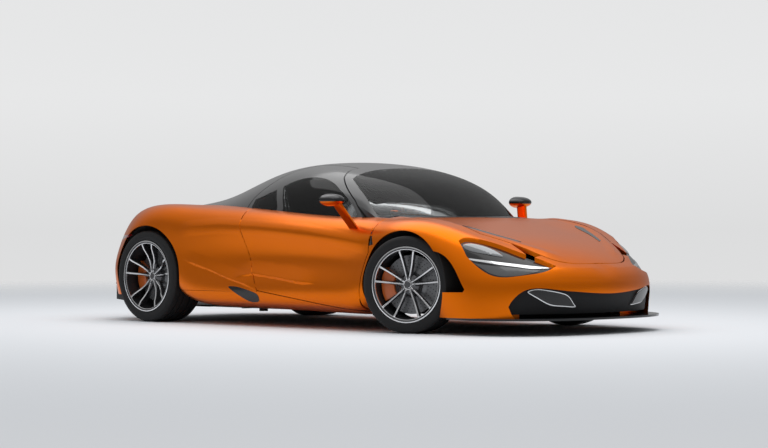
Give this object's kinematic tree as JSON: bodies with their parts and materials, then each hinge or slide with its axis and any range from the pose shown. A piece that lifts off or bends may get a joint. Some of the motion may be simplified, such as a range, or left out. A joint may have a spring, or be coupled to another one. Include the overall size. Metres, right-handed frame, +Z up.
{
  "type": "supercar",
  "caption": "Low mid-engined sports car with doors that swing up and forward, a hinged front lid, a tilting rear wing, steered front wheels and turning wheels.",
  "frame": {"origin": "on the ground under the middle of the car's bounding box", "axes": "+X to the nose, +Y to the car's left, +Z up"},
  "size_m": [4.5335, 2.16, 1.1899],
  "materials": {
    "body_paint": "gloss",
    "black_trim": "gloss",
    "dark_plastic": "matt",
    "carbon_tub": "satin",
    "window_glass": "clear",
    "lamp_glass": "clear",
    "tail_glass": "clear",
    "tyre_rubber": "matt",
    "wheel_metal": "satin",
    "disc_metal": "turned",
    "upright_metal": "painted calipers",
    "arm_metal": "satin",
    "engine_metal": "cast",
    "pipe_metal": "satin",
    "seat_leather": "matt"
  },
  "bodies": {
    "body": {"monocoque": "carbon_tub", "side_sills": "body_paint", "jacking_pads": "dark_plastic", "front_structure": "carbon_tub", "front_wings": "body_paint", "front_bumper": "body_paint", "front_splitter": "black_trim", "front_grille": "dark_plastic", "headlamps": "lamp_glass", "arch_liners": "dark_plastic", "roof_frame": "black_trim", "windscreen": "window_glass", "rear_glazing": "window_glass", "engine_cover": "black_trim", "rear_body": "body_paint", "rear_bumper": "body_paint", "rear_diffuser": "black_trim", "tail_lamps": "tail_glass", "exhaust": "pipe_metal", "engine_block": "engine_metal", "rear_uprights": "upright_metal", "suspension_arms": "arm_metal", "seats": "seat_leather", "dashboard": "dark_plastic", "steering_wheel": "black_trim"},
    "bonnet_body": {"bonnet": "body_paint"},
    "rear_wing_body": {"rear_wing": "body_paint"},
    "door_right": {"door_right_skin": "body_paint", "door_right_frame": "black_trim", "door_right_glass": "window_glass", "mirror_right": "body_paint"},
    "upright_front_right": {"front_upright_right": "upright_metal"},
    "door_left": {"door_left_skin": "body_paint", "door_left_frame": "black_trim", "door_left_glass": "window_glass", "mirror_left": "body_paint"},
    "upright_front_left": {"front_upright_left": "upright_metal"},
    "wheel_front_left": {"tyre_front_left": "tyre_rubber", "rim_front_left": "wheel_metal", "brake_disc_front_left": "disc_metal"},
    "wheel_front_right": {"tyre_front_right": "tyre_rubber", "rim_front_right": "wheel_metal", "brake_disc_front_right": "disc_metal"},
    "wheel_rear_left": {"tyre_rear_left": "tyre_rubber", "rim_rear_left": "wheel_metal", "brake_disc_rear_left": "disc_metal"},
    "wheel_rear_right": {"tyre_rear_right": "tyre_rubber", "rim_rear_right": "wheel_metal", "brake_disc_rear_right": "disc_metal"}
  },
  "joints": [
    {"name": "steer_left", "type": "hinge", "parent": "body", "child": "upright_front_left", "pos_m": [1.2015, 0.807, 0.327], "axis": [0, 0, 1], "range_deg": [-47.6, 12.4]},
    {"name": "spin_front_left", "type": "hinge", "parent": "upright_front_left", "child": "wheel_front_left", "pos_m": [1.19243, 0.8356, 0.327], "axis": [-0.3024, 0.9532, 0], "continuous": true},
    {"name": "spin_rear_left", "type": "hinge", "parent": "body", "child": "wheel_rear_left", "pos_m": [-1.4685, 0.8145, 0.3455], "axis": [0, 1, 0], "continuous": true},
    {"name": "door_left_swing", "type": "hinge", "parent": "body", "child": "door_left", "pos_m": [0.8925, 0.914, 0.655], "axis": [0.2193, 0.3433, -0.9133], "range_deg": [0, 75]},
    {"name": "steer_right", "type": "hinge", "parent": "body", "child": "upright_front_right", "pos_m": [1.2015, -0.807, 0.327], "axis": [0, 0, 1], "range_deg": [-47.6, 12.4]},
    {"name": "spin_front_right", "type": "hinge", "parent": "upright_front_right", "child": "wheel_front_right", "pos_m": [1.21057, -0.8356, 0.327], "axis": [-0.3024, 0.9532, 0], "continuous": true},
    {"name": "spin_rear_right", "type": "hinge", "parent": "body", "child": "wheel_rear_right", "pos_m": [-1.4685, -0.8145, 0.3455], "axis": [0, 1, 0], "continuous": true},
    {"name": "door_right_swing", "type": "hinge", "parent": "body", "child": "door_right", "pos_m": [0.8925, -0.914, 0.655], "axis": [-0.2193, 0.3433, 0.9133], "range_deg": [0, 75]},
    {"name": "bonnet_lift", "type": "hinge", "parent": "body", "child": "bonnet_body", "pos_m": [0.98348, 0, 0.77357], "axis": [0, -1, 0], "range_deg": [0, 60]},
    {"name": "rear_wing_lift", "type": "hinge", "parent": "body", "child": "rear_wing_body", "pos_m": [-1.91122, 0, 0.83995], "axis": [0, 1, 0], "range_deg": [0, 50]}
  ],
  "couplings": [
    {"joint": "steer_right", "follows": "steer_left", "ratio": 1}
  ]
}
